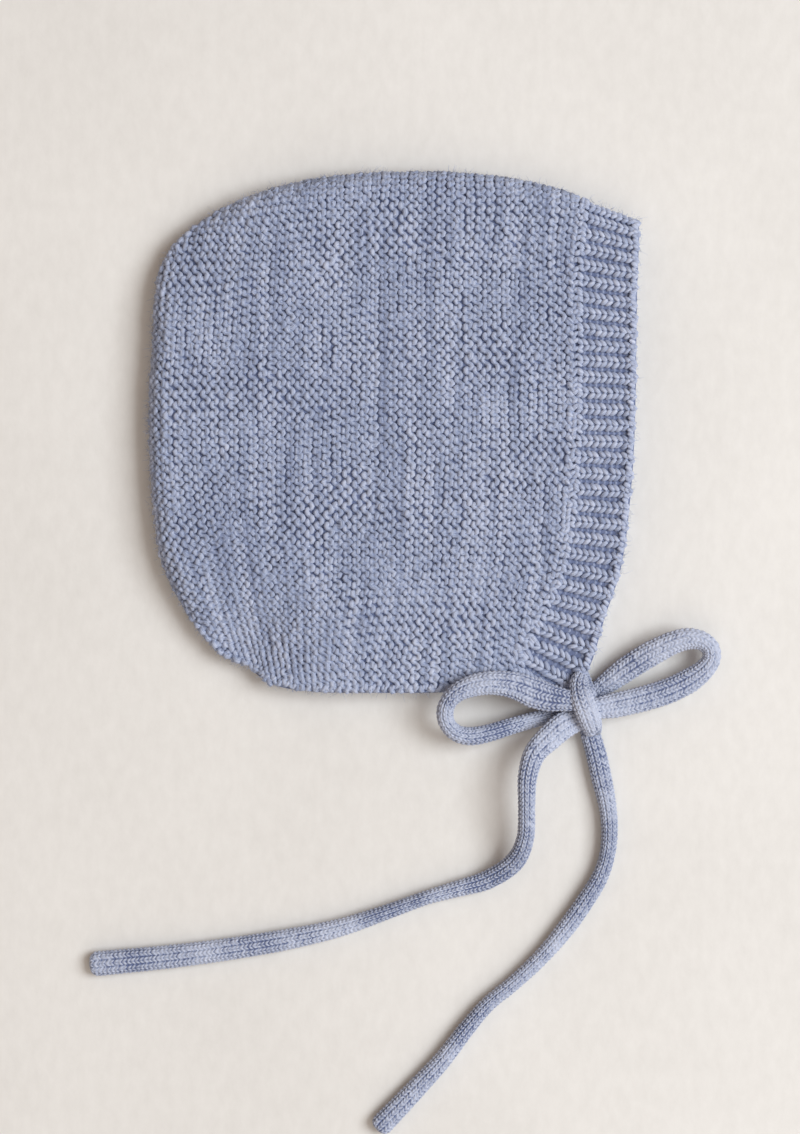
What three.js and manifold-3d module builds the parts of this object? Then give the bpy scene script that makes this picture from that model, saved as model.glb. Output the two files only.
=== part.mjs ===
// A knitted baby bonnet lying flat on a surface, folded on its middle line, with its two
// tie cords in a bow. Millimetres, +Z up. +X runs from the back of the head to the face,
// +Y from the neck to the crown fold. The surface is z = 0, and the origin is the bottom
// centre of the bonnet itself, without its cords.
import * as THREE from 'three';
import { mergeVertices } from 'three/addons/utils/BufferGeometryUtils.js';
import Module from 'manifold-3d';

// ---- driving dimensions -------------------------------------------------------------

const CROWN_WALL = 2.6;          // garter knit, two ridges thick
const BRIM_WALL = 2.8;           // ribbed band, a little fuller than the crown
const LYING_HEIGHT = 12.0;       // both layers and the air between them
const LEAST_HEIGHT = 6.0;        // where the two layers lie almost on each other
const FOLD_HEIGHT = 5.6;         // height of the folded edge's outermost line
const FOLD_REACH = 7.0;          // how far in from the edge a fold is still rounding over
const PIECE_GAP = 0.35;          // clear space between two pieces that meet

const CORD_WIDTH = 7.2;          // the cord is a tube of knitting pressed flat
const CORD_THICKNESS = 4.2;
const CORD_SIDES = 8;
const CORD_STEP = 7.2;           // length of cord for each step of its solid

// The folded edge, from the back end of the neck opening round the back of the head and
// over the crown to the face corner.
const FOLD_LINE = [
  { x: -43.8, y: -70.4 },
  { x: -48.4, y: -68.9 },
  { x: -52.6, y: -66.3 },
  { x: -60.0, y: -57.4 },
  { x: -67.4, y: -45.0 },
  { x: -71.6, y: -31.0 },
  { x: -73.8, y: 0.0 },
  { x: -73.0, y: 24.0 },
  { x: -70.6, y: 48.0 },
  { x: -65.5, y: 56.7 },
  { x: -56.8, y: 63.8 },
  { x: -41.1, y: 71.6 },
  { x: -19.2, y: 76.7 },
  { x: 8.1, y: 78.2 },
  { x: 29.7, y: 76.9 },
  { x: 46.2, y: 73.9 },
  { x: 57.0, y: 70.4 },
  { x: 73.8, y: 64.2 },
];

// The open neck edge, from the back end of the opening, past the foot of the brim seam, to
// the brim's tied corner.
const NECK_LINE = [
  { x: -43.8, y: -70.4 },
  { x: -41.2, y: -72.7 },
  { x: -36.0, y: -75.8 },
  { x: -24.6, y: -77.8 },
  { x: -3.0, y: -78.2 },
  { x: 18.9, y: -78.0 },
  { x: 34.0, y: -77.6 },
  { x: 46.0, y: -78.4 },
];

// The seam between crown and brim, from the neck edge to the crown fold.
const SEAM_LINE = [
  { x: 34.0, y: -77.6 },
  { x: 41.0, y: -60.4 },
  { x: 49.5, y: -40.8 },
  { x: 53.4, y: -13.5 },
  { x: 54.4, y: 19.2 },
  { x: 54.6, y: 51.9 },
  { x: 57.0, y: 70.4 },
];

// The open face edge of the brim, from where the tie cord draws its corner in to the
// crown fold.
const FACE_LINE = [
  { x: 46.0, y: -78.4 },
  { x: 51.2, y: -77.6 },
  { x: 56.0, y: -74.8 },
  { x: 58.8, y: -70.6 },
  { x: 63.6, y: -54.9 },
  { x: 68.1, y: -40.8 },
  { x: 71.4, y: -13.5 },
  { x: 72.4, y: 8.4 },
  { x: 72.9, y: 41.1 },
  { x: 73.8, y: 64.2 },
];

// The upper layer sinks towards the open neck edge, where no fold holds it up.
const NECK_SAG = { reach: 15, rise: -3.0 };

// Where else the upper layer sinks or lifts from its lying height. The bow pulls the two
// front corners together, the cloth sags a little between its folds and lies flatter at its
// two back corners, and a slack fold runs in from the back end of the neck opening.
const SWELLS = [
  { x: 57, y: -74, reach: 27, rise: -3.1 },
  { x: -8, y: -4, reach: 46, rise: -1.0 },
  { x: -40, y: -66, reach: 13, rise: -1.0 },
  { x: -20, y: -60, reach: 17, rise: 0.8 },
  { x: 20, y: 44, reach: 30, rise: 0.5 },
  { x: -50, y: 20, reach: 26, rise: 0.6 },
  { x: -66, y: 60, reach: 17, rise: -3.4 },
  { x: -55, y: -67, reach: 17, rise: -3.0 },
];

const CROWN_COLUMNS = 22;
const ROWS = 18;                 // from the neck edge to the crown fold, on both pieces
const BRIM_COLUMNS = 3;

// Stretches of the tie cords outside the knot, each as the line its middle follows.
const LEFT_LOOP = [
  { x: 56.0, y: -80.4, z: 9.4 },
  { x: 50.6, y: -80.2, z: 9.4 },
  { x: 46.2, y: -79.5, z: 9.5 },
  { x: 41.7, y: -78.1, z: 10.0 },
  { x: 37.4, y: -76.3, z: 10.8 },
  { x: 32.8, y: -75.3, z: 11.4 },
  { x: 28.0, y: -75.1, z: 11.7 },
  { x: 23.0, y: -76.1, z: 11.6 },
  { x: 19.0, y: -77.9, z: 11.6 },
  { x: 16.3, y: -80.6, z: 11.1 },
  { x: 15.2, y: -84.0, z: 10.4 },
  { x: 16.0, y: -87.5, z: 9.3 },
  { x: 18.5, y: -90.1, z: 8.2 },
  { x: 22.6, y: -91.2, z: 7.2 },
  { x: 28.5, y: -90.3, z: 6.0 },
  { x: 34.9, y: -88.4, z: 4.6 },
  { x: 44.0, y: -86.0, z: 2.9 },
  { x: 56.0, y: -83.6, z: 2.2 },
];
const RIGHT_LOOP = [
  { x: 57.0, y: -80.6, z: 3.0 },
  { x: 61.8, y: -77.4, z: 2.8 },
  { x: 65.3, y: -74.6, z: 3.4 },
  { x: 69.5, y: -71.4, z: 4.2 },
  { x: 76.5, y: -66.9, z: 5.3 },
  { x: 84.3, y: -63.0, z: 6.1 },
  { x: 88.7, y: -62.0, z: 6.3 },
  { x: 92.4, y: -62.7, z: 6.3 },
  { x: 95.0, y: -65.0, z: 6.1 },
  { x: 95.2, y: -68.1, z: 5.8 },
  { x: 93.4, y: -70.9, z: 5.5 },
  { x: 89.0, y: -74.4, z: 5.2 },
  { x: 82.0, y: -77.8, z: 5.4 },
  { x: 74.1, y: -80.2, z: 6.0 },
  { x: 66.0, y: -82.0, z: 7.0 },
  { x: 58.0, y: -83.4, z: 7.6 },
];
const LEFT_TAIL = [
  { x: 57.5, y: -84.8, z: 6.5 },
  { x: 54.5, y: -86.3, z: 6.5 },
  { x: 51.3, y: -87.7, z: 7.3 },
  { x: 46.2, y: -91.8, z: 9.0 },
  { x: 42.0, y: -96.3, z: 10.4 },
  { x: 39.9, y: -103.0, z: 11.2 },
  { x: 39.6, y: -112.0, z: 10.9 },
  { x: 39.3, y: -121.5, z: 8.9 },
  { x: 36.2, y: -128.9, z: 5.6 },
  { x: 28.2, y: -134.6, z: 2.8 },
  { x: 19.0, y: -137.4, z: 2.2 },
  { x: 10.2, y: -139.9, z: 2.2 },
  { x: -3.1, y: -144.7, z: 2.2 },
  { x: -16.4, y: -149.1, z: 2.2 },
  { x: -34.2, y: -153.0, z: 2.2 },
  { x: -61.9, y: -157.2, z: 2.2 },
  { x: -91.8, y: -160.2, z: 2.2 },
];
const RIGHT_TAIL = [
  { x: 58.4, y: -85.6, z: 2.4 },
  { x: 59.5, y: -92.0, z: 2.3 },
  { x: 60.9, y: -97.0, z: 2.2 },
  { x: 62.6, y: -104.6, z: 2.2 },
  { x: 64.2, y: -112.0, z: 2.2 },
  { x: 64.9, y: -120.0, z: 2.2 },
  { x: 64.0, y: -128.0, z: 2.2 },
  { x: 61.8, y: -134.2, z: 2.2 },
  { x: 58.3, y: -140.0, z: 2.2 },
  { x: 52.4, y: -148.4, z: 2.2 },
  { x: 44.9, y: -157.3, z: 2.2 },
  { x: 36.1, y: -165.7, z: 2.2 },
  { x: 28.3, y: -172.1, z: 2.2 },
  { x: 21.7, y: -179.7, z: 2.2 },
  { x: 14.6, y: -188.9, z: 2.2 },
  { x: 6.8, y: -197.4, z: 2.2 },
  { x: -5.2, y: -210.0, z: 2.2 },
];

// The knot: a stadium between these two ends, with its top and bottom rounded.
const KNOT = {
  from: { x: 56.8, y: -80.2 },
  to: { x: 59.2, y: -86.2 },
  halfWidth: 4.3,
  foot: 0.2,
  height: 11.6,
  rounding: 2.2,
  arcPoints: 7,
  bevelPoints: 4,
};

// ---- materials ----------------------------------------------------------------------

const knit = (color, roughness) => new THREE.MeshStandardMaterial({ color, roughness, metalness: 0 });
const CROWN_WOOL = knit(0x8a93ab, 0.95);
const BRIM_WOOL = knit(0x8d96ae, 0.95);
const CORD_WOOL = knit(0x989fb6, 0.92);

// ---- lines in plan ------------------------------------------------------------------

const LINE_SAMPLES = 240;
const TINY = 1e-9;

// A smooth line through the rows of a table, as evenly spaced points.
function smoothLine(table) {
  const curve = new THREE.CatmullRomCurve3(
    table.map(({ x, y }) => new THREE.Vector3(x, y, 0)), false, 'centripetal');
  return curve.getSpacedPoints(LINE_SAMPLES);
}

// The other coordinate of a line where `key` has this value; the line is monotone in `key`.
function readLine(points, key, value) {
  const other = key === 'x' ? 'y' : 'x';
  const rising = points[points.length - 1][key] > points[0][key];
  for (let n = 1; n < points.length; n += 1) {
    const [a, b] = rising ? [points[n - 1], points[n]] : [points[n], points[n - 1]];
    if (value >= a[key] && value <= b[key]) {
      const share = (value - a[key]) / Math.max(b[key] - a[key], TINY);
      return THREE.MathUtils.lerp(a[other], b[other], share);
    }
  }
  const nearFirst = Math.abs(value - points[0][key])
    < Math.abs(value - points[points.length - 1][key]);
  return (nearFirst ? points[0] : points[points.length - 1])[other];
}

const foldLine = smoothLine(FOLD_LINE);
const neckLine = smoothLine(NECK_LINE);
const seamLine = smoothLine(SEAM_LINE);
const faceLine = smoothLine(FACE_LINE);

// The folded edge moved inwards by `inset`, split at the back of the head into its lower
// stretch, towards the neck, and its upper stretch, towards the face.
function foldEdges(inset) {
  const moved = foldLine.map((point, n) => {
    const before = foldLine[Math.max(n - 1, 0)];
    const after = foldLine[Math.min(n + 1, foldLine.length - 1)];
    const run = after.clone().sub(before).normalize();
    return new THREE.Vector3(point.x + run.y * inset, point.y - run.x * inset, 0);
  });
  const back = moved.reduce((best, point, n) => (point.x < moved[best].x ? n : best), 0);
  return { lower: moved.slice(0, back + 1), upper: moved.slice(back), back: moved[back] };
}

function distanceTo(points, x, y) {
  let nearest = Infinity;
  for (const point of points) nearest = Math.min(nearest, Math.hypot(point.x - x, point.y - y));
  return nearest;
}

// ---- heights ------------------------------------------------------------------------

// How far a layer has turned over a fold: 0 on the edge, 1 from `reach` inwards.
function foldRound(distance, reach) {
  const share = THREE.MathUtils.clamp(distance / reach, 0, 1);
  return Math.sqrt(1 - (1 - share) ** 2);
}

const bell = (distance, { reach, rise }) => rise * Math.exp(-((distance / reach) ** 2));

function upperHeight(x, y) {
  let height = LYING_HEIGHT + bell(distanceTo(neckLine, x, y), NECK_SAG);
  for (const swell of SWELLS) height += bell(Math.hypot(x - swell.x, y - swell.y), swell);
  return Math.max(height, LEAST_HEIGHT);
}

// Height of one face of the cloth. layer is 1 for the upper layer and 0 for the under one;
// inset is 0 on the outside of the cloth and the wall's thickness on its inside.
function clothHeight(x, y, layer, inset, onFold) {
  const distance = onFold ? 0 : Math.max(distanceTo(foldLine, x, y) - inset, 0);
  const round = foldRound(distance, FOLD_REACH - inset);
  const level = layer ? upperHeight(x, y) - inset : inset;
  return THREE.MathUtils.lerp(FOLD_HEIGHT, level, round);
}

// ---- a folded wall of cloth -----------------------------------------------------------

// plan(i, j, inset) gives the place of a grid point; onFold(i, j) says that the two layers
// meet there. Both layers get an outer and an inner face, joined by a strip along each
// stretch of the rim where they don't meet.
function foldedWall({ columns, wall, plan, onFold }) {
  const positions = [];
  const triangles = [];
  const vertex = [0, 1].map((layer) => [0, wall].map((inset) => {
    const grid = [];
    for (let i = 0; i <= columns; i += 1) {
      grid.push([]);
      for (let j = 0; j <= ROWS; j += 1) {
        const { x, y } = plan(i, j, inset);
        grid[i].push(positions.length / 3);
        positions.push(x, y, clothHeight(x, y, layer, inset, onFold(i, j)));
      }
    }
    return grid;
  }));
  const quad = (a, b, c, d, flip) => {
    triangles.push(...(flip ? [a, c, b, a, d, c] : [a, b, c, a, c, d]));
  };
  for (const layer of [0, 1]) {
    for (const side of [0, 1]) {
      const v = vertex[layer][side];
      for (let i = 0; i < columns; i += 1) {
        for (let j = 0; j < ROWS; j += 1) {
          quad(v[i][j], v[i + 1][j], v[i + 1][j + 1], v[i][j + 1], layer === side);
        }
      }
    }
    const [outer, inner] = vertex[layer];
    const strip = (a, b) => {
      if (onFold(...a) && onFold(...b)) return;
      quad(outer[a[0]][a[1]], inner[a[0]][a[1]], inner[b[0]][b[1]], outer[b[0]][b[1]], layer === 0);
    };
    for (let i = 0; i < columns; i += 1) {
      strip([i, 0], [i + 1, 0]);
      strip([i + 1, ROWS], [i, ROWS]);
    }
    for (let j = 0; j < ROWS; j += 1) {
      strip([columns, j], [columns, j + 1]);
      strip([0, j + 1], [0, j]);
    }
  }
  return closedGeometry(positions, triangles);
}

// Vertices closer than this are one vertex.
const WELD = 1e-4;

// Joins vertices that share a place and drops the triangles that this closes up.
function closedGeometry(positions, triangles) {
  const loose = new THREE.BufferGeometry();
  loose.setAttribute('position', new THREE.Float32BufferAttribute(positions, 3));
  loose.setIndex(triangles);
  const welded = mergeVertices(loose, WELD);
  const index = welded.getIndex().array;
  const kept = [];
  for (let n = 0; n < index.length; n += 3) {
    const [a, b, c] = [index[n], index[n + 1], index[n + 2]];
    if (a !== b && b !== c && c !== a) kept.push(a, b, c);
  }
  welded.setIndex(kept);
  welded.computeVertexNormals();
  return welded;
}

// ---- crown --------------------------------------------------------------------------

const foldSide = { outer: foldEdges(0), inner: foldEdges(CROWN_WALL) };
const NECK_BACK_END = NECK_LINE[0].x;
const CLOSED_MARGIN = 1;         // the opening starts this far in front of the fold's end
const SETTLING_PASSES = 8;

// Columns crowd towards the back of the head, where the cloth turns over.
const crownShare = (i) => 1 - Math.cos((Math.PI / 2) * (i / CROWN_COLUMNS));
const crownX = (i, y, edges) => (
  THREE.MathUtils.lerp(edges.back.x, readLine(seamLine, 'y', y), crownShare(i)));
const neckIsOpen = (i) => (
  crownX(i, NECK_LINE[0].y, foldSide.outer) > NECK_BACK_END + CLOSED_MARGIN);

// Where a leaning column of the crown meets the edge above or below it, found by settling.
function crownEnd(i, startY, edgeAt, edges) {
  let y = startY;
  for (let pass = 0; pass < SETTLING_PASSES; pass += 1) y = edgeAt(crownX(i, y, edges));
  return y;
}

// Rows crowd towards the fold and the neck edge.
const rowShare = (j) => 0.5 - 0.5 * Math.cos(Math.PI * (j / ROWS));

function crownPlan(i, j, inset) {
  const edges = inset > 0 ? foldSide.inner : foldSide.outer;
  if (i === 0) return { x: edges.back.x, y: edges.back.y };
  const lowerEdge = (x) => (neckIsOpen(i)
    ? readLine(neckLine, 'x', x)
    : readLine(edges.lower, 'x', x));
  const upperEdge = (x) => readLine(edges.upper, 'x', x);
  const top = crownEnd(i, SEAM_LINE[SEAM_LINE.length - 1].y, upperEdge, edges);
  const foot = crownEnd(i, NECK_LINE[0].y, lowerEdge, edges);
  const y = THREE.MathUtils.lerp(foot, top, rowShare(j));
  return { x: crownX(i, y, edges), y };
}

function makeCrown() {
  return foldedWall({
    columns: CROWN_COLUMNS,
    wall: CROWN_WALL,
    plan: crownPlan,
    onFold: (i, j) => i === 0 || j === ROWS || (j === 0 && !neckIsOpen(i)),
  });
}

// ---- brim ---------------------------------------------------------------------------

// The place on a line that runs from the neck edge up, at a share of its rise.
function upLine(points, share) {
  const y = THREE.MathUtils.lerp(points[0].y, points[points.length - 1].y, share);
  return { x: readLine(points, 'y', y), y };
}

function brimPlan(i, j, inset) {
  const seam = upLine(seamLine, rowShare(j));
  const face = upLine(faceLine, rowShare(j));
  const across = i / BRIM_COLUMNS;
  const foldInset = j === ROWS ? inset : 0;
  return {
    x: THREE.MathUtils.lerp(seam.x + PIECE_GAP, face.x, across),
    y: THREE.MathUtils.lerp(seam.y, face.y, across) - foldInset,
  };
}

function makeBrim() {
  return foldedWall({
    columns: BRIM_COLUMNS,
    wall: BRIM_WALL,
    plan: brimPlan,
    onFold: (i, j) => j === ROWS,
  });
}

// ---- tie cords ----------------------------------------------------------------------

// A curve whose frames stay level, so that a flat section swept along it lies flat.
class LevelCurve extends THREE.CatmullRomCurve3 {
  computeFrenetFrames(segments) {
    const up = new THREE.Vector3(0, 0, 1);
    const frames = { tangents: [], normals: [], binormals: [] };
    for (let n = 0; n <= segments; n += 1) {
      const tangent = this.getTangentAt(n / segments);
      const normal = up.clone().cross(tangent).normalize();
      frames.tangents.push(tangent);
      frames.normals.push(normal);
      frames.binormals.push(tangent.clone().cross(normal));
    }
    return frames;
  }
}

function cordSection() {
  const section = new THREE.Shape();
  for (let n = 0; n < CORD_SIDES; n += 1) {
    const angle = ((n + 0.5) / CORD_SIDES) * 2 * Math.PI;
    const reach = 1 / Math.cos(Math.PI / CORD_SIDES);
    const x = (CORD_WIDTH / 2) * Math.cos(angle) * reach;
    const y = (CORD_THICKNESS / 2) * Math.sin(angle) * reach;
    if (n === 0) section.moveTo(x, y);
    else section.lineTo(x, y);
  }
  section.closePath();
  return section;
}

function cordGeometry(route) {
  const points = route.map(({ x, y, z }) => new THREE.Vector3(x, y, z));
  const path = new LevelCurve(points, false, 'centripetal');
  return new THREE.ExtrudeGeometry(cordSection(), {
    steps: Math.round(path.getLength() / CORD_STEP),
    extrudePath: path,
    bevelEnabled: false,
  });
}

// The knot's outer form: a stadium in plan, grown sideways and upwards by `margin`.
function knotGeometry(margin) {
  const { from, to, halfWidth, foot, height, rounding, arcPoints, bevelPoints } = KNOT;
  const lean = Math.atan2(to.y - from.y, to.x - from.x);
  const reach = halfWidth - rounding;
  const outline = new THREE.Shape();
  outline.absarc(to.x, to.y, reach, lean - Math.PI / 2, lean + Math.PI / 2, false);
  outline.absarc(from.x, from.y, reach, lean + Math.PI / 2, lean + (3 * Math.PI) / 2, false);
  outline.closePath();
  const geometry = new THREE.ExtrudeGeometry(outline, {
    depth: height - 2 * rounding,
    curveSegments: arcPoints,
    bevelEnabled: true,
    bevelThickness: rounding + margin,
    bevelSize: rounding + margin,
    bevelSegments: bevelPoints,
  });
  geometry.translate(0, 0, foot + rounding);
  return geometry;
}

// ---- joining and cutting ------------------------------------------------------------

const solids = await Module();
solids.setup();

function toSolid(geometry) {
  const bare = geometry.clone();
  bare.deleteAttribute('normal');
  bare.deleteAttribute('uv');
  const welded = mergeVertices(bare, WELD);
  return new solids.Manifold(new solids.Mesh({
    numProp: 3,
    vertProperties: new Float32Array(welded.getAttribute('position').array),
    triVerts: new Uint32Array(welded.getIndex().array),
  }));
}

function toGeometry(solid) {
  const mesh = solid.getMesh();
  const geometry = new THREE.BufferGeometry();
  const positions = new Float32Array(mesh.vertProperties);
  geometry.setAttribute('position', new THREE.BufferAttribute(positions, 3));
  geometry.setIndex(new THREE.BufferAttribute(new Uint32Array(mesh.triVerts), 1));
  geometry.computeVertexNormals();
  return geometry;
}

// Each cord stretch runs into the knot and is cut off just short of it.
const knotClearance = toSolid(knotGeometry(PIECE_GAP));
const cordOutsideKnot = (route) => toGeometry(toSolid(cordGeometry(route)).subtract(knotClearance));

// ---- the bonnet ---------------------------------------------------------------------

const bonnet = new THREE.Group();

function addPiece(name, geometry, material) {
  const piece = new THREE.Mesh(geometry, material.clone());
  piece.name = name;
  bonnet.add(piece);
}

addPiece('crown', makeCrown(), CROWN_WOOL);
addPiece('brim', makeBrim(), BRIM_WOOL);
addPiece('tie_knot', knotGeometry(0), CORD_WOOL);
addPiece('tie_loop_left', cordOutsideKnot(LEFT_LOOP), CORD_WOOL);
addPiece('tie_loop_right', cordOutsideKnot(RIGHT_LOOP), CORD_WOOL);
addPiece('tie_tail_left', cordOutsideKnot(LEFT_TAIL), CORD_WOOL);
addPiece('tie_tail_right', cordOutsideKnot(RIGHT_TAIL), CORD_WOOL);

export default bonnet;
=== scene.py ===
"""A knitted baby bonnet lying folded on a pale surface, with its tie cords in a bow.

Everything is worked out in millimetres on the frame's own axes: +X to the face, +Y to the
fold over the head and +Z up. It turns into metres only where a mesh is made.
"""
import math

import bmesh
import bpy
import numpy as np
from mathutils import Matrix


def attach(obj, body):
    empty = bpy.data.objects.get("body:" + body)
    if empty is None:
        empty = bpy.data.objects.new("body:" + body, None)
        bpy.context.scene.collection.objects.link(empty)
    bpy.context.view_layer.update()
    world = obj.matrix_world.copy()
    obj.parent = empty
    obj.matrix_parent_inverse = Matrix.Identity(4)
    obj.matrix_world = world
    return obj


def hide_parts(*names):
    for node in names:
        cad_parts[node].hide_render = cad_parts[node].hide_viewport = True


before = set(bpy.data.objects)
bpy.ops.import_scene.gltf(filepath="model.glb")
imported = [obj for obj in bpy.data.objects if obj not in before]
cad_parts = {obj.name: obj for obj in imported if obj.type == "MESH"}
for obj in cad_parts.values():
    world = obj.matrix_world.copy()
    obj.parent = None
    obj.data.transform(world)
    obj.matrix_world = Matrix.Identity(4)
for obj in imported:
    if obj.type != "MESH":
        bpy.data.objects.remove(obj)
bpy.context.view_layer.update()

MM = 0.001
TINY = 1e-9
random = np.random.default_rng(7)

# ---- camera ----

VIEW_CENTRE = (1.8, -40.5, 6.0)
VIEW_HEIGHT = 340.2              # what the long side of the picture takes in
CAMERA_RISE = 1000.0
SENSOR = 36.0
CLIP_NEAR, CLIP_FAR = 0.05, 20   # metres


def add_camera():
    """Looks straight down on the bonnet, with the fold over the head at the top."""
    camera = bpy.data.objects.new("camera", bpy.data.cameras.new("camera"))
    camera.data.sensor_width = SENSOR
    camera.data.lens = SENSOR * CAMERA_RISE / VIEW_HEIGHT
    camera.data.clip_start, camera.data.clip_end = CLIP_NEAR, CLIP_FAR
    x, y, z = VIEW_CENTRE
    camera.location = (x * MM, y * MM, (z + CAMERA_RISE) * MM)
    bpy.context.scene.collection.objects.link(camera)
    bpy.context.scene.camera = camera


# ---- lines ----

SPAN_SAMPLES = 40                # between two points of a list, before a line is spaced evenly
OCTAVE_FALL = 1.7                # how much weaker each finer layer of a wander is
WANDER_SPREAD = 1.6              # what brings a wander to about -1 to 1


def smooth_line(points, step):
    """Points every `step` along the centripetal Catmull-Rom line through a list of points."""
    p = np.asarray(points, float)
    p = np.vstack([2 * p[0] - p[1], p, 2 * p[-1] - p[-2]])
    gap = np.sqrt(np.linalg.norm(np.diff(p, axis=0), axis=1))
    t = np.linspace(0, 1, SPAN_SAMPLES, endpoint=False)[:, None]
    dense = []
    for a in range(1, len(p) - 2):
        before, here, after = gap[a - 1], gap[a], gap[a + 1]
        leave = here * ((p[a] - p[a - 1]) / before - (p[a + 1] - p[a - 1]) / (before + here)
                        + (p[a + 1] - p[a]) / here)
        arrive = here * ((p[a + 1] - p[a]) / here - (p[a + 2] - p[a]) / (here + after)
                         + (p[a + 2] - p[a + 1]) / after)
        dense.append((2 * t**3 - 3 * t**2 + 1) * p[a] + (t**3 - 2 * t**2 + t) * leave
                     + (3 * t**2 - 2 * t**3) * p[a + 1] + (t**3 - t**2) * arrive)
    dense = np.vstack(dense + [p[-2:-1]])
    length = lengths_along(dense)
    count = max(int(round(length[-1] / step)), 1)
    return read_line(dense, np.linspace(0, length[-1], count + 1))


def lengths_along(points):
    """How far along a line, or each of several lines, each of its points is."""
    steps = np.linalg.norm(np.diff(points, axis=-2), axis=-1)
    return np.concatenate([np.zeros((*steps.shape[:-1], 1)), np.cumsum(steps, axis=-1)], axis=-1)


def read_at(places, length, values):
    """Rows of values, given at these lengths along a line, read at other places along it."""
    return np.stack([np.interp(places, length, column) for column in values.T], axis=-1)


def read_line(points, places):
    """The points of a line at these lengths along it."""
    return read_at(places, lengths_along(points), points)


def left_of(line):
    """The way to the left of a line's run in plan, at each of its points."""
    run = unit(np.gradient(line, axis=0))
    return np.column_stack([-run[:, 1], run[:, 0]])


def unit(vectors):
    """The same directions, each of length 1."""
    return vectors / np.maximum(np.linalg.norm(vectors, axis=-1, keepdims=True), TINY)


def smoothstep(low, high, value):
    """From 0 at low to 1 at high, level at both."""
    share = np.clip((value - low) / (high - low), 0, 1)
    return share * share * (3 - 2 * share)


def wander(count, step, seed_random, octaves=3):
    """A smooth random value along a line, from about -1 to 1, that changes over `step` samples."""
    value = np.zeros(count)
    for octave in range(octaves):
        knots = int(count / step * 2**octave) + 3
        level = seed_random.normal(size=knots)
        layer = np.interp(np.linspace(0, knots - 1, count), np.arange(knots), level)
        value += layer / OCTAVE_FALL**octave
    return value / WANDER_SPREAD


# ---- the folded cloth ----

# Outlines in plan. The fold runs from the back end of the neck edge up the back and over the
# head, the neck edge from there to the brim, and the other two up from it.
FOLD_LINE = [
    (-43.8, -70.4), (-48.4, -68.9), (-52.6, -66.3), (-60.0, -57.4), (-67.4, -45.0),
    (-71.6, -31.0), (-73.8, 0.0), (-73.0, 24.0), (-70.6, 48.0), (-65.5, 56.7),
    (-56.8, 63.8), (-41.1, 71.6), (-19.2, 76.7), (8.1, 78.2), (29.7, 76.9), (46.2, 73.9),
    (57.0, 70.4), (73.8, 64.2),
]
NECK_LINE = [
    (-43.8, -70.4), (-41.2, -72.7), (-36.0, -75.8), (-24.6, -77.8), (-3.0, -78.2),
    (18.9, -78.0), (34.0, -77.6), (46.0, -78.4),
]
SEAM_LINE = [
    (34.0, -77.6), (41.0, -60.4), (49.5, -40.8), (53.4, -13.5), (54.4, 19.2),
    (54.6, 51.9), (57.0, 70.4),
]
FACE_LINE = [
    (46.0, -78.4), (51.2, -77.6), (56.0, -74.8), (58.8, -70.6), (63.6, -54.9),
    (68.1, -40.8), (71.4, -13.5), (72.4, 8.4), (72.9, 41.1), (73.8, 64.2),
]
LYING_HEIGHT = 12.0              # of both layers together
LEAST_HEIGHT = 6.0
FOLD_HEIGHT = 5.6
FOLD_REACH = 7.0                 # how far in from its edge the cloth rounds over
NECK_SAG = (15.0, -3.0)          # reach, rise
SWELLS = [  # x, y, reach, rise
    (57, -74, 27, -3.1), (-8, -4, 46, -1.0), (-40, -66, 13, -1.0), (-20, -60, 17, 0.8),
    (20, 44, 30, 0.5), (-50, 20, 26, 0.6), (-66, 60, 17, -3.4), (-55, -67, 17, -3.0),
]
CROWN_WALL = 2.6
BRIM_WALL = 2.8
UPPER, UNDER = 1, 0              # the two layers
RIGHT_NUDGE = 0.001              # settles which side of a line a point on it is
CHUNK = 4000                     # points measured at a time
ROUNDING_SAMPLES = 200

fold_line = smooth_line(FOLD_LINE, 1.0)
neck_line = smooth_line(NECK_LINE, 1.5)
seam_line = smooth_line(SEAM_LINE, 0.5)
face_line = smooth_line(FACE_LINE, 0.5)
SEAM_LENGTH = lengths_along(seam_line)[-1]
FACE_LENGTH = lengths_along(face_line)[-1]
# which points of the fold and of the neck edge the seam meets
FOLD_TOP = int(np.linalg.norm(fold_line - seam_line[-1], axis=1).argmin())
NECK_FOOT = int(np.linalg.norm(neck_line - seam_line[0], axis=1).argmin())


def distance_to(line, points):
    """How far each point in plan is from a line, and the way from the line to it, which for a
    point on the line is to the right of the line's run."""
    start, run = line[:-1], np.diff(line, axis=0)
    right = RIGHT_NUDGE * unit(np.column_stack([run[:, 1], -run[:, 0]]))
    run_squared = (run**2).sum(1)
    gap = np.empty(len(points))
    away = np.empty((len(points), 2))
    for chunk in np.array_split(np.arange(len(points)), len(points) // CHUNK + 1):
        offset = points[chunk, None] - start
        share = np.clip((offset * run).sum(2) / run_squared, 0, 1)
        offset = offset - share[..., None] * run
        squared = (offset**2).sum(2)
        nearest = squared.argmin(1)
        rows = np.arange(len(chunk))
        gap[chunk] = np.sqrt(squared[rows, nearest])
        away[chunk] = offset[rows, nearest] + right[nearest]
    return gap, unit(away)


def upper_height(points):
    """How high the upper layer's outside lies over points in plan, away from the fold."""
    reach, rise = NECK_SAG
    height = LYING_HEIGHT + rise * np.exp(-((distance_to(neck_line, points)[0] / reach) ** 2))
    for x, y, reach, rise in SWELLS:
        height += rise * np.exp(-(((points - (x, y)) ** 2).sum(1) / reach**2))
    return np.maximum(height, LEAST_HEIGHT)


def upper_slope(points, nudge=0.5):
    """How that height climbs along x and y."""
    steps = nudge * np.eye(2)
    return np.column_stack([(upper_height(points + s) - upper_height(points - s)) / (2 * nudge)
                            for s in steps])


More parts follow.
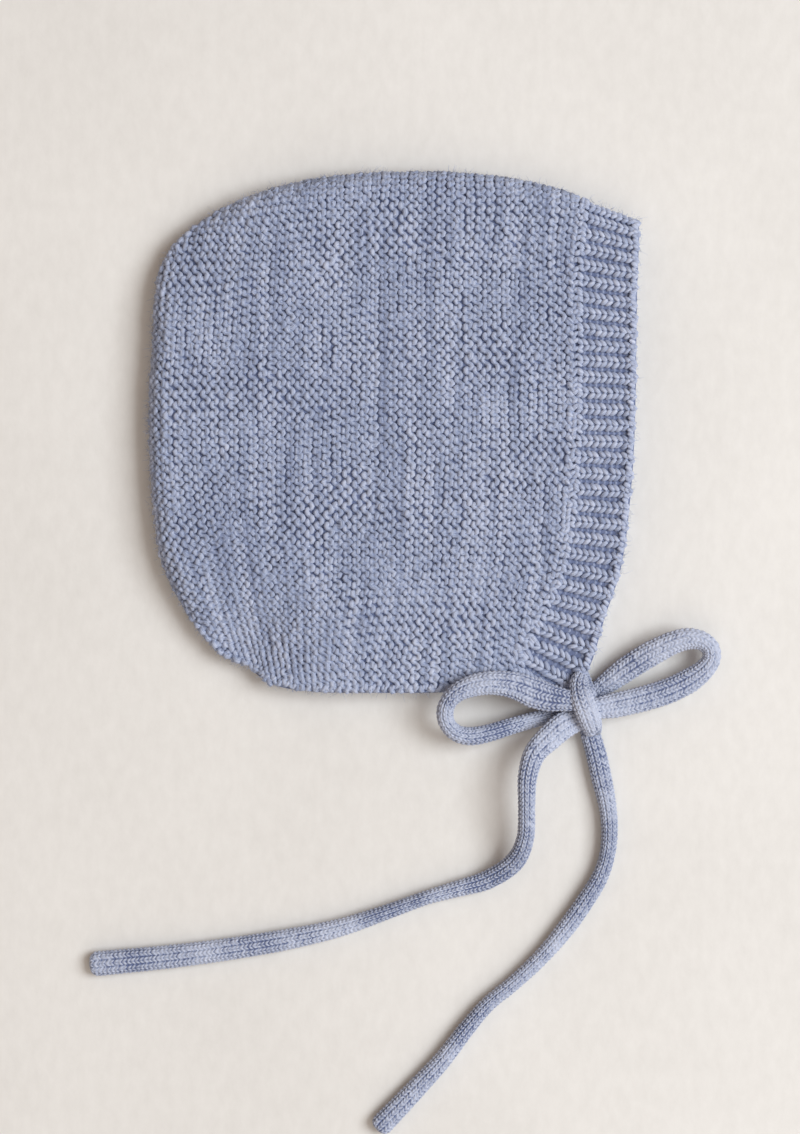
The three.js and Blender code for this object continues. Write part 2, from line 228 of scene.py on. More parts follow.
def cloth(points, layer, inset=0.0):
    """Places on a layer of the cloth over points in plan, `inset` under its outside, with its
    outward normals."""
    shape = points.shape[:-1]
    points = points.reshape(-1, 2)
    gap, away = distance_to(fold_line, points)
    reach = FOLD_REACH - inset
    turn = np.clip(1 - np.maximum(gap - inset, 0) / reach, 0, 1)
    rise = np.sqrt(1 - turn**2)
    if layer == UPPER:
        level = upper_height(points) - inset
        slope = upper_slope(points) * rise[:, None]
    else:
        level = np.full(len(points), float(inset))
        slope = 0.0
    side = 1.0 if layer == UPPER else -1.0
    flat = -((level - FOLD_HEIGHT) * turn)[:, None] * away - (reach * rise)[:, None] * slope
    normals = side * np.column_stack([flat, reach * rise])
    places = np.column_stack([points, FOLD_HEIGHT + (level - FOLD_HEIGHT) * rise])
    return places.reshape(*shape, 3), unit(normals).reshape(*shape, 3)


def fold_distance(along):
    """How far in from the fold, in plan, a length over its rounding reaches."""
    angle = np.linspace(0, math.pi / 2, ROUNDING_SAMPLES)
    round_over = np.column_stack([FOLD_REACH * (1 - np.cos(angle)),
                                  (LYING_HEIGHT - FOLD_HEIGHT) * np.sin(angle)])
    length = lengths_along(round_over)
    return np.interp(along, length, round_over[:, 0]) + np.maximum(along - length[-1], 0)


def inside(outline, points):
    """Which points in plan lie inside a closed outline."""
    x, y = points.T
    found = np.zeros(len(points), bool)
    for (ax, ay), (bx, by) in zip(outline, np.roll(outline, -1, axis=0)):
        crosses = (ay > y) != (by > y)
        if crosses.any():
            found ^= crosses & (x < (bx - ax) * (y - ay) / (by - ay + TINY) + ax)
    return found


# ---- yarn ----

PATTERN_LENGTH = 900             # each tube starts somewhere along this much of the wool's pattern
SHELL_PAINTED_SHADE = -2.7                # painted shade on the plain cloth, which shows between the stitches
WELD_REACH, LEAST_EDGE = 0.02, 0.01


def corner_uvs(us, vs):
    """The UVs of faces from those of each of their corners in turn."""
    return np.stack([np.stack(corner, axis=-1) for corner in zip(us, vs)], axis=-2).reshape(-1, 2)


class Yarn:
    """Gathers tubes of yarn into one mesh. Its UVs are lengths along and around the yarn, and its
    tone is how light or dark the yarn is coloured there: dye that differs at random, and painted
    shade and painted highlight where the stitches dip and rise."""

    def __init__(self):
        self.vertices, self.corners, self.starts, self.uvs, self.tones = [], [], [], [], []
        self.vertex_count = self.corner_count = 0

    def add(self, paths, ups, radius, tone, sides=6):
        """paths and ups hold one row of points for each tube; radius and tone fit that shape."""
        tubes, rings = paths.shape[:2]
        run = unit(np.gradient(paths, axis=1))
        side = unit(np.cross(run, ups))
        up = np.cross(side, run)
        radius = np.broadcast_to(radius, (tubes, rings))
        angle = np.arange(sides) / sides * 2 * math.pi
        ring = np.cos(angle)[:, None] * side[:, :, None] + np.sin(angle)[:, None] * up[:, :, None]
        points = paths[:, :, None] + radius[:, :, None, None] * ring
        index = np.arange(tubes * rings * sides).reshape(tubes, rings, sides) + self.vertex_count
        after = np.roll(index, -1, axis=2)
        quads = np.stack([index[:, :-1], after[:, :-1], after[:, 1:], index[:, 1:]], axis=-1)
        along = lengths_along(paths) + random.uniform(0, PATTERN_LENGTH, (tubes, 1))
        around = np.arange(sides + 1) / sides * 2 * math.pi * float(radius.max())
        u = np.broadcast_to(along[:, :, None], (tubes, rings, sides))
        low, high = (np.broadcast_to(v, (tubes, rings - 1, sides))
                     for v in (around[:-1], around[1:]))
        uv = corner_uvs((u[:, :-1], u[:, :-1], u[:, 1:], u[:, 1:]), (low, high, high, low))
        caps = np.concatenate([index[:, 0, ::-1], index[:, -1]])
        cap_uv = np.repeat(np.concatenate([u[:, 0, :1], u[:, -1, :1]]), sides)
        self.vertices.append(points.reshape(-1, 3))
        self.tones.append(np.repeat(np.broadcast_to(tone, (tubes, rings)).ravel(), sides))
        self.corners += [quads.ravel(), caps.ravel()]
        self.uvs += [uv, np.column_stack([cap_uv, np.zeros(len(cap_uv))])]
        quad_starts = self.corner_count + 4 * np.arange(quads.size // 4)
        cap_starts = self.corner_count + quads.size + sides * np.arange(len(caps))
        self.starts += [quad_starts, cap_starts]
        self.vertex_count += points.size // 3
        self.corner_count += quads.size + caps.size

    def make(self, name, material):
        """The piece with all the tubes gathered so far."""
        return mesh_object(name, np.concatenate(self.vertices), np.concatenate(self.corners),
                           np.concatenate(self.starts), material,
                           np.concatenate(self.uvs), np.concatenate(self.tones))


def mesh_object(name, vertices, corners, starts, material, uvs, tones):
    """A smooth piece from its vertices, the corners of its faces in one row, the place in that
    row where each face starts, a UV for each corner and a tone for each vertex."""
    mesh = bpy.data.meshes.new(name)
    mesh.vertices.add(len(vertices))
    mesh.vertices.foreach_set("co", (vertices * MM).astype(np.float32).ravel())
    mesh.loops.add(len(corners))
    mesh.loops.foreach_set("vertex_index", corners.astype(np.int32))
    mesh.polygons.add(len(starts))
    mesh.polygons.foreach_set("loop_start", starts.astype(np.int32))
    mesh.update(calc_edges=True)
    mesh.polygons.foreach_set("use_smooth", np.ones(len(starts), bool))
    mesh.uv_layers.new(name="yarn").data.foreach_set("uv", uvs.astype(np.float32).ravel())
    tone = mesh.attributes.new("tone", "FLOAT", "POINT")
    tone.data.foreach_set("value", np.asarray(tones, np.float32))
    mesh.materials.append(material)
    piece = bpy.data.objects.new(name, mesh)
    bpy.context.scene.collection.objects.link(piece)
    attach(piece, "root")
    return piece


def grid_object(name, sheets, material):
    """One mesh from grids of points, each (rows, columns, 3), welded where they meet."""
    vertices, corners, uvs, tones, count = [], [], [], [], 0
    for points, flip in sheets:
        rows, columns = points.shape[:2]
        index = np.arange(rows * columns).reshape(rows, columns) + count
        quad = [index[:-1, :-1], index[1:, :-1], index[1:, 1:], index[:-1, 1:]]
        if flip:
            quad = quad[::-1]
        corner = np.stack(quad, axis=-1).ravel()
        corners.append(corner)
        flat = points.reshape(-1, 3)
        uvs.append(flat[corner - count][:, [1, 0]])
        vertices.append(flat)
        # the plain cloth is all painted dark with the shell's painted shade
        tones.append(np.full(len(flat), SHELL_PAINTED_SHADE))
        count += len(flat)
    corners = np.concatenate(corners)
    piece = mesh_object(name, np.concatenate(vertices), corners, 4 * np.arange(len(corners) // 4),
                        material, np.concatenate(uvs), np.concatenate(tones))
    weld(piece.data)
    return piece


def weld(mesh):
    """Joins the grids of one mesh along their shared rims."""
    work = bmesh.new()
    work.from_mesh(mesh)
    bmesh.ops.remove_doubles(work, verts=work.verts, dist=WELD_REACH * MM)
    bmesh.ops.dissolve_degenerate(work, edges=work.edges, dist=LEAST_EDGE * MM)
    bmesh.ops.recalc_face_normals(work, faces=work.faces)
    work.to_mesh(mesh)
    work.free()


# ---- wool ----

class Nodes:
    """Adds and links shader nodes in one tree."""

    def __init__(self, tree):
        self.tree = tree

    def add(self, kind, values=(), **settings):
        """A node with these values in its named sockets and these settings."""
        node = self.tree.nodes.new(kind)
        for name, value in settings.items():
            setattr(node, name, value)
        for name, value in dict(values).items():
            self.put(node.inputs[name], value)
        return node

    def put(self, socket, value):
        """Links a socket into another, or sets a plain value in it."""
        if isinstance(value, bpy.types.NodeSocket):
            self.tree.links.new(value, socket)
        else:
            socket.default_value = value

    def maths(self, operation, *values):
        node = self.tree.nodes.new("ShaderNodeMath")
        node.operation = operation
        for socket, value in zip(node.inputs, values):
            self.put(socket, value)
        return node.outputs[0]

    def mix(self, share, first, second):
        """One colour taken towards another."""
        node = self.tree.nodes.new("ShaderNodeMix")
        node.data_type = "RGBA"
        for socket, value in zip([node.inputs[0], node.inputs[6], node.inputs[7]],
                                 [share, first, second]):
            self.put(socket, value)
        return node.outputs[2]

    def noise(self, vector, scale, detail=2.0, roughness=0.5):
        node = self.add("ShaderNodeTexNoise", {"Vector": vector, "Scale": scale,
                                               "Detail": detail, "Roughness": roughness})
        return node.outputs["Fac"]

    def stretch(self, vector, scale):
        node = self.add("ShaderNodeMapping", {"Vector": vector, "Scale": scale})
        return node.outputs[0]

    def spread(self, value, low, high):
        """A value from low to high taken to 0 to 1."""
        node = self.add("ShaderNodeMapRange", {"Value": value, "From Min": low,
                                               "From Max": high})
        return node.outputs[0]


def colour(red, green, blue):
    """A colour given as the eye sees it, from 0 to 255, as linear light."""
    share = [c / 255 for c in (red, green, blue)]
    return (*[c / 12.92 if c <= 0.04045 else ((c + 0.055) / 1.055) ** 2.4 for c in share], 1)


MIDDLE_YARN = (140, 147, 170)
# the dark fibre colour is also what painted shade takes the wool to, the pale one what painted
# highlight takes it to
DARK_FIBRE_AND_SHADE = (88, 100, 136)
PALE_FIBRE_AND_HIGHLIGHT = (222, 227, 242)
STREAK_STRETCH = (0.5, 3.2, 1)   # along and around the yarn
STREAK_DARK = (0.52, 0.30)       # where streaks start to darken, and where they are darkest
STREAK_PALE = (0.50, 0.74)
DRIFT_SCALE, DRIFT_AMOUNT = 55.0, 1.4
LOW_TONE, LOW_SHARE = -3.2, 0.95  # how low a tone is all dark fibre, and how dark that makes it; low tones hold painted shade as well as darker dye
HIGH_TONE, HIGH_SHARE = 1.6, 0.45
FIBRE_STRETCH = (0.9, 6.5, 1)
FIBRE_RELIEF = 0.12


def heathered_wool_group():
    """Spun from fibres dyed several shades: the yarn's colour, streaked along its fibres and
    drifting from course to course, and the fine relief of the fibres. The tone attribute also
    brings painted shade, towards the dark fibre, and painted highlight, towards the pale one."""
    group = bpy.data.node_groups.new("heathered_wool", "ShaderNodeTree")
    for name, kind, value in [("Yarn", "NodeSocketColor", colour(*MIDDLE_YARN)),
                              ("Dark Fibre And Shade", "NodeSocketColor", colour(*DARK_FIBRE_AND_SHADE)),
                              ("Pale Fibre And Highlight", "NodeSocketColor", colour(*PALE_FIBRE_AND_HIGHLIGHT)),
                              ("Streaks", "NodeSocketFloat", 0.5),
                              ("Relief", "NodeSocketFloat", 0.5)]:
        group.interface.new_socket(name, in_out="INPUT", socket_type=kind).default_value = value
    group.interface.new_socket("Colour", in_out="OUTPUT", socket_type="NodeSocketColor")
    group.interface.new_socket("Normal", in_out="OUTPUT", socket_type="NodeSocketVector")
    n = Nodes(group)
    given = n.add("NodeGroupInput").outputs
    put = n.add("NodeGroupOutput").inputs
    yarn = n.add("ShaderNodeUVMap", uv_map="yarn").outputs[0]
    place = n.add("ShaderNodeTexCoord").outputs["Object"]
    tone = n.add("ShaderNodeAttribute", attribute_name="tone").outputs["Fac"]
    streak = n.noise(n.stretch(yarn, STREAK_STRETCH), 1.0, 3, 0.6)
    dark = n.maths("MULTIPLY", n.spread(streak, *STREAK_DARK), given["Streaks"])
    pale = n.maths("MULTIPLY", n.spread(streak, *STREAK_PALE), given["Streaks"])
    dyed = n.mix(dark, given["Yarn"], given["Dark Fibre And Shade"])
    dyed = n.mix(pale, dyed, given["Pale Fibre And Highlight"])
    patches = n.noise(place, DRIFT_SCALE, 2)
    # the tone and the patches take the colour darker or paler: random dye, with the painted shade
    # and painted highlight that the tone holds
    drift = n.maths("ADD", tone,
                    n.maths("MULTIPLY_ADD", patches, DRIFT_AMOUNT, -DRIFT_AMOUNT / 2))
    low = n.maths("MULTIPLY", n.spread(drift, 0.0, LOW_TONE), LOW_SHARE)
    high = n.maths("MULTIPLY", n.spread(drift, 0.0, HIGH_TONE), HIGH_SHARE)
    dyed = n.mix(low, dyed, given["Dark Fibre And Shade"])
    dyed = n.mix(high, dyed, given["Pale Fibre And Highlight"])
    n.put(put["Colour"], dyed)
    fibre = n.noise(n.stretch(yarn, FIBRE_STRETCH), 1.0, 3, 0.65)
    bump = n.add("ShaderNodeBump", {"Height": fibre, "Strength": given["Relief"],
                                    "Distance": FIBRE_RELIEF * MM})
    n.put(put["Normal"], bump.outputs[0])
    return group


RELIEF = 0.6
WOOL_FINISH = {"Roughness": 0.95, "Specular IOR Level": 0.12, "Sheen Weight": 0.35,
               "Sheen Roughness": 0.55, "Sheen Tint": colour(214, 220, 236)}
WOOLS = {  # its yarn's colour, and how strongly that is streaked
    "cord_wool": ((184, 192, 211), 0.40),
    "crown_wool": ((162, 173, 198), 0.62),
    "brim_wool": ((169, 180, 205), 0.62),
}


def new_material(name, finish):
    """A material with this finish, with its tree to add nodes to and its shader's sockets."""
    material = bpy.data.materials.new(name)
    material.use_nodes = True
    shader = material.node_tree.nodes["Principled BSDF"].inputs
    for socket, value in finish.items():
        shader[socket].default_value = value
    return material, Nodes(material.node_tree), shader


def wool_material(name, group):
    """Matt wool with the soft bloom that its loose fibres give it."""
    yarn, streaks = WOOLS[name]
    material, n, shader = new_material(name, WOOL_FINISH)
    wool = n.add("ShaderNodeGroup", {"Yarn": colour(*yarn), "Streaks": streaks,
                                     "Relief": RELIEF}, node_tree=group)
    n.put(shader["Base Color"], wool.outputs["Colour"])
    n.put(shader["Normal"], wool.outputs["Normal"])
    return material


# ---- tie cords ----

CORD_WALES = 10                  # columns of stitches round the tube
WALE_STEPS = 6
CORD_STITCH = 1.27
STITCH_ROWS = 4
STITCH_RELIEF = 0.70
STITCH_DIP = 0.44                # how high a stitch's lowest row stands, as a share
STITCH_NOISE = 0.07
STITCH_LEAN = 0.75               # how far a leg runs along the cord, as a share of a stitch
WALE_RELIEF = [0.15, 0.88, 1.0, 0.60, 1.0, 0.88]      # across one column of stitches
TUBE_POWER = 2.6                 # how square the pressed tube's section is
END_POWER = 2.4                  # how square its closed ends are
END_REACH = (3.0, 1.8)           # how far their rounding reaches, across the tube and through it
LEAST_REACH = 0.0002             # which leaves the end rows a little size
CORD_UV_RADIUS = 3.0
# the cord's tone, and how dark its painted shade makes the hollows between stitches
CORD_TONE, HOLLOW_PAINTED_SHADE = 0.95, -4.2
HOLLOW_SHADE, HOLLOW_SHADE_DRIFT, HOLLOW_SHADE_NOISE = 0.9, 0.7, 0.5       # how strongly the hollows of stitches get painted shade, drifting along the cord and by stitch
HOLLOW_SHADE_LIMITS = (0.2, 2.2)

# x, y, z, width, thickness
UPPER_CORD = [
    (56.4, -72.4, 5.6, 4.6, 3.0), (55.4, -75.4, 8.3, 5.8, 3.4), (55.9, -78.8, 10.1, 6.9, 3.4),
    (57.2, -82.6, 10.5, 7.2, 3.4), (58.6, -86.2, 9.6, 7.0, 3.4), (59.7, -89.0, 6.6, 5.8, 3.2),
    (59.6, -87.6, 3.6, 4.2, 2.8), (59.2, -82.6, 2.9, 4.0, 2.8), (61.8, -77.4, 2.8, 5.7, 3.4),
    (65.3, -74.6, 3.4, 6.9, 4.0), (69.5, -71.4, 4.2, 7.7, 4.0), (76.5, -66.9, 5.3, 7.9, 4.0),
    (84.3, -63.0, 6.1, 7.1, 4.2), (88.7, -62.0, 6.3, 6.6, 4.4), (92.4, -62.7, 6.3, 5.9, 4.6),
    (95.0, -65.0, 6.1, 5.7, 4.8), (95.2, -68.1, 5.8, 5.8, 4.8), (93.4, -70.9, 5.5, 6.3, 4.6),
    (89.0, -74.4, 5.2, 7.6, 4.2), (82.0, -77.8, 5.4, 7.9, 4.0), (74.1, -80.2, 6.0, 7.8, 3.8),
    (66.0, -82.0, 7.0, 7.7, 3.6), (59.5, -83.3, 7.4, 6.3, 3.2), (54.5, -86.3, 6.5, 7.5, 3.4),
    (51.3, -87.7, 7.3, 8.3, 3.6), (46.2, -91.8, 9.0, 8.0, 4.0), (42.0, -96.3, 10.4, 6.9, 4.2),
    (39.9, -103.0, 11.2, 6.0, 4.4), (39.6, -112.0, 10.9, 5.2, 4.8), (39.3, -121.5, 8.9, 5.4, 4.8),
    (36.2, -128.9, 5.6, 6.1, 4.6), (28.2, -134.6, 2.8, 6.0, 4.4), (19.0, -137.4, 2.3, 5.1, 4.6),
    (10.2, -139.9, 2.5, 4.3, 4.8), (-3.1, -144.7, 2.4, 4.7, 4.8), (-16.4, -149.1, 2.3, 5.6, 4.6),
    (-34.2, -153.0, 2.2, 6.6, 4.4), (-61.9, -157.2, 2.1, 7.1, 4.2), (-91.8, -160.2, 2.1, 7.7, 4.2),
]
UNDER_CORD = [
    (56.0, -71.6, 1.9, 5.0, 3.0), (57.4, -75.4, 3.4, 4.6, 3.0), (58.6, -79.0, 6.4, 4.2, 2.8),
    (56.6, -80.7, 8.6, 5.0, 3.0), (53.4, -80.6, 9.3, 6.3, 3.4), (50.6, -80.2, 9.4, 6.9, 3.6),
    (46.2, -79.5, 9.5, 8.7, 3.4), (41.7, -78.1, 10.0, 9.3, 3.4), (37.4, -76.3, 10.8, 8.5, 3.6),
    (32.8, -75.3, 11.4, 7.7, 3.8), (28.0, -75.1, 11.7, 7.2, 4.0), (23.0, -76.1, 11.6, 6.7, 4.2),
    (19.0, -77.9, 11.6, 5.9, 4.4), (16.3, -80.6, 11.1, 5.3, 4.6), (15.2, -84.0, 10.4, 5.3, 4.6),
    (16.0, -87.5, 9.3, 5.1, 4.6), (18.5, -90.1, 8.2, 5.2, 4.6), (22.6, -91.2, 7.2, 5.7, 4.4),
    (28.5, -90.3, 6.0, 5.5, 4.4), (34.9, -88.4, 4.6, 5.2, 4.4), (44.0, -86.0, 2.9, 4.9, 4.2),
    (52.0, -84.8, 2.2, 5.1, 3.8), (57.4, -86.4, 2.2, 5.3, 3.6), (59.5, -92.0, 2.4, 6.2, 4.2),
    (60.9, -97.0, 2.4, 6.4, 4.4), (62.6, -104.6, 2.4, 6.4, 4.4), (64.2, -112.0, 2.4, 5.5, 4.8),
    (64.9, -120.0, 2.4, 5.1, 4.8), (64.0, -128.0, 2.4, 4.9, 4.8), (61.8, -134.2, 2.4, 5.2, 4.8),
    (58.3, -140.0, 2.4, 5.5, 4.8), (52.4, -148.4, 2.4, 5.7, 4.6), (44.9, -157.3, 2.4, 5.0, 4.8),
    (36.1, -165.7, 2.4, 4.7, 4.8), (28.3, -172.1, 2.4, 4.7, 4.8), (21.7, -179.7, 2.4, 5.1, 4.8),
    (14.6, -188.9, 2.3, 5.6, 4.6), (6.8, -197.4, 2.2, 6.2, 4.4), (-5.2, -210.0, 2.2, 7.0, 4.2),
]


def cord_frames(route):
    """Points along a cord, STITCH_ROWS to a stitch, with its length, its sideways and upward
    directions, and its width and thickness there."""
    rows = np.asarray(route, float)
    line = smooth_line(rows[:, :3], CORD_STITCH / STITCH_ROWS)
    length = lengths_along(line)
    places = [length[((line - row[:3]) ** 2).sum(1).argmin()] for row in rows]
    places = np.maximum.accumulate(places) + TINY * np.arange(len(rows))
    width, thickness = (np.interp(length, places, rows[:, c]) for c in (3, 4))
    run = unit(np.gradient(line, axis=0))
    side = unit(np.cross(run, (0, 0, 1)))
    return line, length, side, np.cross(side, run), width, thickness


def cord(name, route, material):
    """A tube of stocking stitch pressed flat: rows of small V's, ten columns round."""
    line, length, side, up, width, thickness = cord_frames(route)
    around = CORD_WALES * WALE_STEPS
    angle = np.arange(around) / around * 2 * math.pi
    wale = np.arange(around) / WALE_STEPS % 1 * 2 - 1
    lean = STITCH_LEAN * (1 - abs(wale)) * CORD_STITCH
    row_length = np.arange(len(line)) * CORD_STITCH / STITCH_ROWS
    at = np.clip(row_length[:, None] + lean[None], 0, length[-1])

    def read(values):
        return read_at(at, length, values.reshape(len(length), -1))

    rows = len(line)
    leg = np.sqrt(0.5 - 0.5 * np.cos(2 * math.pi * np.arange(rows) / STITCH_ROWS))
    height = (STITCH_DIP + (1 - STITCH_DIP) * leg[:, None]) * np.tile(WALE_RELIEF, CORD_WALES)
    height = height + STITCH_NOISE * random.normal(size=height.shape)
    relief = STITCH_RELIEF * (height - 1)
    from_end = np.minimum(at, length[-1] - at)
    half_width, half_thick = (
        (read(size)[..., 0] / 2 + relief)
        * (1 - (1 - np.clip(from_end / reach, LEAST_REACH, 1)) ** END_POWER) ** (1 / END_POWER)
        for size, reach in zip((width, thickness), END_REACH))
    swell = sum(abs(part(angle)) ** TUBE_POWER for part in (np.cos, np.sin)) ** (-1 / TUBE_POWER)
    points = (read(line) + read(side) * (half_width * np.cos(angle) * swell)[..., None]
              + read(up) * (half_thick * np.sin(angle) * swell)[..., None])
    index = np.arange(rows * around).reshape(rows, around)
    after = np.roll(index, -1, axis=1)
    quads = np.stack([index[:-1], index[1:], after[1:], after[:-1]], axis=-1)
    caps = np.concatenate([index[0], index[-1, ::-1]])
    corners = np.concatenate([quads.ravel(), caps])
    starts = np.concatenate([4 * np.arange(quads.size // 4), quads.size + around * np.arange(2)])
    round_tube = np.arange(around + 1) / around * 2 * math.pi * CORD_UV_RADIUS
    low, high = (np.broadcast_to(v, (rows - 1, around))
                 for v in (round_tube[:-1], round_tube[1:]))
    at_after = np.roll(at, -1, axis=1)
    uv = corner_uvs((at[:-1], at[1:], at_after[1:], at_after[:-1]), (low, low, high, high))
    uv = np.concatenate([uv, np.zeros((len(caps), 2))])
    # painted shade for the hollows, stronger and weaker at random along the cord
    fleck = HOLLOW_SHADE + HOLLOW_SHADE_DRIFT * wander(rows, 45, random)[:, None]
    each_stitch = random.normal(size=(rows, CORD_WALES)).repeat(WALE_STEPS, axis=1)
    fleck = np.clip(fleck + HOLLOW_SHADE_NOISE * each_stitch, *HOLLOW_SHADE_LIMITS)
    tone = 0.5 * wander(rows, 60, random)[:, None] + 0.15 * random.normal(size=(rows, around))
    # the hollows, where the stitches dip, are painted darker as shade
    tone = tone + CORD_TONE + HOLLOW_PAINTED_SHADE * fleck * (1 - height)
    piece = mesh_object(name, points.reshape(-1, 3), corners, starts, material, uv, tone.ravel())
    return piece


# ---- garter stitch ----

RIDGE_PITCH = 2.8
STITCH_PITCH = 2.75
YARN_RADIUS = 0.81
SWING = 0.92                     # of the yarn to each side of its ridge
LOOP_LEVEL, LOOP_RISE = -1.14, 0.38     # from the cloth's outside, and how far loops stand up
TIP_RADIUS = 0.05
UNEVEN_ALONG, UNEVEN_ACROSS, UNEVEN_UP, UNEVEN_RADIUS = 0.17, 0.18, 0.19, 0.09
TONE_DRIFT, TONE_STITCH, TOP_LIGHT_DIP_SHADE = 0.55, 0.22, 0.40  # random along a ridge and by stitch; painted highlight on loop tops and painted shade in the dips
UNDER_SHOWN = 6.0                # of the under layer, as seen past the fold
FOLD_STRETCH = 0.45              # how much of a stitch's length a rise over the fold takes up
BACK_X = float(fold_line[:, 0].min())
SEAM_MID_Y = 19.0
SEAM_MID_X = float(np.interp(SEAM_MID_Y, seam_line[:, 1], seam_line[:, 0]))
EDGE_FOLLOWED = (-38.0, 44.0)    # between these heights the ridges run along the back edge
PAST_LOW, PAST_HIGH = (-0.27, 0.0032), (0.15, 0.0016)  # how they go on past them: slope, curve
BOW_FADE, BOW_POWER = 30, 1.5    # how soon ridges further in run straight
LEAN, LEAN_REACH = 0.58, 42      # ridges near the seam lean with it
FAN, FAN_REACH = -0.22, 40
FAN_MIDDLE = 17.0                # ridges back of this x fan out towards the neck edge
FAN_HEIGHTS = (-40, -78)
RIDGE_RIPPLE = 0.28
RIPPLE_WAVES, RIPPLE_SPREAD = 7, 2.6
RIDGE_SEARCH = (-82, 82, 3281)   # heights between which a ridge's ends lie, and samples
RIDGE_SAMPLES, LEAST_RIDGE = 900, 20
CORNERS = (-30, -34), (-20, 44)  # x and y in from which the low and the high corner begin
CORNER_OUT = 0.35


def seam_x(y):
    return np.interp(y, seam_line[:, 1], seam_line[:, 0])


def back_bow(y):
    """How far the back edge has drawn in from its outermost place, at a height y."""
    back = fold_line[:np.argmax(fold_line[:, 1])]
    low, high = EDGE_FOLLOWED
    held = np.clip(y, low, high)
    beyond = y - held
    slope, curve = (np.where(beyond > 0, up, down) for up, down in zip(PAST_HIGH, PAST_LOW))
    return (np.interp(held, back[:, 1], back[:, 0]) - BACK_X) + slope * beyond + curve * beyond**2


def ripple(points, size, seed):
    """A smooth value from about -1 to 1 over the plan, in patches about `size` across."""
    seeded = np.random.default_rng(seed)
    turn = seeded.uniform(0, 2 * math.pi, (2, RIPPLE_WAVES))
    size = size * seeded.uniform(0.6, 1.5, RIPPLE_WAVES)
    waves = np.stack([np.cos(turn[0]), np.sin(turn[0])]) * 2 * math.pi / size
    return np.sin(points @ waves + turn[1]).sum(1) / RIPPLE_SPREAD


def ridge_line(start, y):
    """The place in plan of a ridge that starts out at x = start half way up the crown."""
    further_in = max(start - BACK_X - FOLD_REACH, 0)
    bow = math.exp(-(further_in / BOW_FADE) ** BOW_POWER) * back_bow(y)
    lean = LEAN * math.exp(-((SEAM_MID_X - start) / LEAN_REACH) ** 2) * (seam_x(y) - SEAM_MID_X)
    out = FAN_MIDDLE - start
    fan = FAN * out * math.exp(-(out / FAN_REACH) ** 2) * smoothstep(*FAN_HEIGHTS, y)
    held = smoothstep(0, 12, start - BACK_X - FOLD_REACH)
    line = np.column_stack([start + bow + lean + fan, y])
    line[:, 0] += RIDGE_RIPPLE * held * ripple(line, 26, 4)
    return line


def crown_outline():
    """The crown's whole edge in plan."""
    return np.vstack([fold_line[:FOLD_TOP + 1], seam_line[::-1], neck_line[NECK_FOOT:0:-1]])


def stitch_lengths(places):
    """Lengths along a ridge as its stitches share them: they stretch where it rounds the fold."""
    return lengths_along(places * (1, 1, FOLD_STRETCH))


def ridge_path(start, outline):
    """A ridge from its foot on the upper layer, over the fold and back to its foot on the
    under one, as places and outward normals every short step. Also how far along it the
    crown's middle height is, which neighbouring ridges share."""
    y = np.linspace(*RIDGE_SEARCH)
    held = inside(outline, ridge_line(start, y))
    if held.sum() < LEAST_RIDGE:
        return None
    middle = np.argmin(abs(y - SEAM_MID_Y) + 1000 * ~held)
    low = middle - np.argmin(held[middle::-1]) + 1
    high = middle + np.argmin(held[middle:]) - 1
    share = 0.5 - 0.5 * np.cos(np.linspace(0, math.pi, RIDGE_SAMPLES))
    plan = ridge_line(start, y[low] + (y[high] - y[low]) * share)
    upper, upper_normal = cloth(plan, UPPER)
    under, under_normal = cloth(plan[::-1], UNDER)
    places = np.vstack([upper, under])
    normals = np.vstack([upper_normal, under_normal])
    half_way = stitch_lengths(upper)[np.argmin(abs(plan[:, 1]))]
    return places, normals, half_way


def corner_ridges():
    """Ridges that run round the fold itself at the corners, where the others end on it. They
    have no under half, which a middle of 0 says."""
    x, y = fold_line.T
    (low_x, low_y), (high_x, high_y) = CORNERS
    for corner in ((x < low_x) & (y < low_y), (x < high_x) & (y > high_y)):
        places, normals = cloth(fold_line[corner], UPPER)
        places[:, 2] = FOLD_HEIGHT
        out = unit(normals * (1, 1, 0))
        yield places + CORNER_OUT * out, out, 0.0


